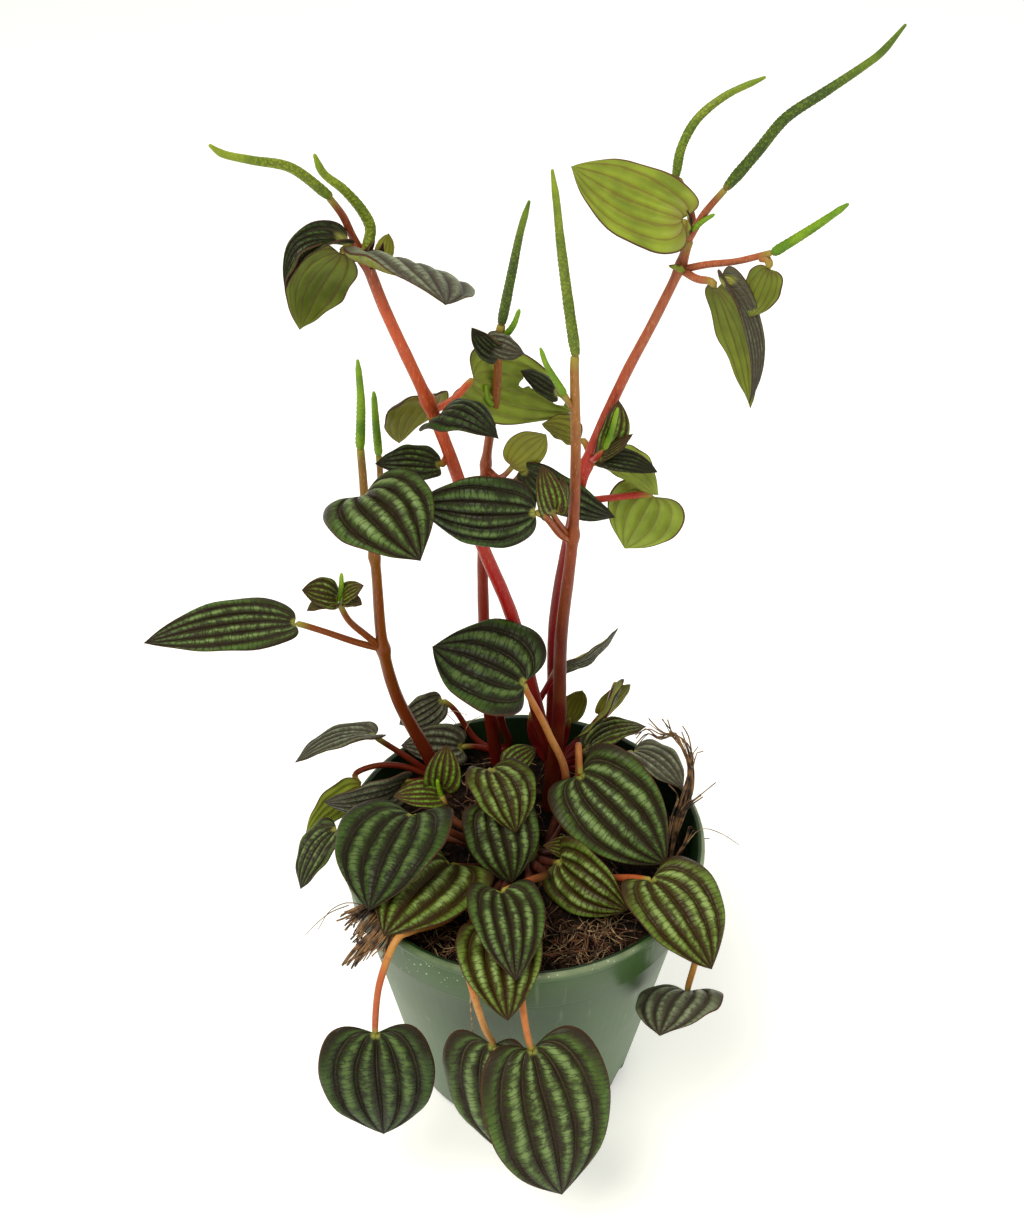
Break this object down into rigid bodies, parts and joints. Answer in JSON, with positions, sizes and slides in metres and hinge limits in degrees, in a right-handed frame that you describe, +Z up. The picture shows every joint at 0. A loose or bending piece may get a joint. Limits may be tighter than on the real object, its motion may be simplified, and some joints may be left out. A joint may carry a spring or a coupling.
{
  "type": "potted peperomia",
  "caption": "Striped-leaf peperomia in flower, with tall red stems, upright green spikes and a mound of quilted heart-shaped leaves, growing in a round green nursery pot.",
  "frame": {"origin": "middle of the pot's flat underside, on the surface that it stands on", "axes": "+Z up along the pot's axis; -Y is the side that the leaves face; +X to the right seen from there"},
  "size_m": [0.1734, 0.131, 0.3062],
  "materials": {
    "pot_plastic": "satin, slightly scuffed green plastic",
    "soil": null,
    "coir": "matt brown fibre",
    "leaf": null,
    "leaf_underside": null,
    "stem": null,
    "stem_dark": null,
    "leaf_stalk": null,
    "flower_spike": null
  },
  "bodies": {
    "root": {"leaf_a_curled": "leaf_underside", "leaf_a_top": "leaf", "leaf_a_low_back": "leaf_underside", "leaf_a_low_wavy": "leaf", "leaf_a_low_front": "leaf", "leaf_a_eaten": "leaf_underside", "leaf_b_front": "leaf", "leaf_b_side": "leaf", "leaf_c_narrow": "leaf", "leaf_d_dark": "leaf", "leaf_e_top": "leaf_underside", "leaf_e_end": "leaf_underside", "leaf_e_hanging": "leaf_underside", "leaf_e_folded": "leaf", "leaf_e_pale": "leaf_underside", "leaf_e_round": "leaf_underside", "leaf_high": "leaf", "leaf_back_narrow": "leaf", "leaf_back_left": "leaf", "leaf_back_curled": "leaf", "leaf_left_edge_on": "leaf", "leaf_left_upper": "leaf", "leaf_left_under": "leaf_underside", "leaf_left_lower": "leaf", "leaf_left_large": "leaf", "leaf_left_front": "leaf", "leaf_middle_top": "leaf", "leaf_middle": "leaf", "leaf_middle_low": "leaf", "leaf_middle_rim": "leaf", "leaf_right_large": "leaf", "leaf_right_under": "leaf", "leaf_right_front": "leaf", "leaf_right_back": "leaf", "leaf_right_behind": "leaf", "leaf_right_edge_on": "leaf", "leaf_hanging_left": "leaf", "leaf_hanging_middle": "leaf", "leaf_hanging_large": "leaf", "leaf_hanging_right": "leaf", "spike_a_short": "flower_spike", "spike_a_long": "flower_spike", "spike_b_tall": "flower_spike", "spike_b_side": "flower_spike", "spike_c": "flower_spike", "spike_d": "flower_spike", "spike_e_long": "flower_spike", "spike_e_short": "flower_spike", "spike_e_side": "flower_spike", "crown": "leaf_stalk", "stem_a": "stem", "stem_b": "stem_dark", "stem_c": "stem_dark", "stem_d": "stem_dark", "stem_e": "stem", "coir_tuft_left": "coir", "coir_tuft_right": "coir", "soil": "soil", "pot": "pot_plastic"}
  },
  "joints": []
}
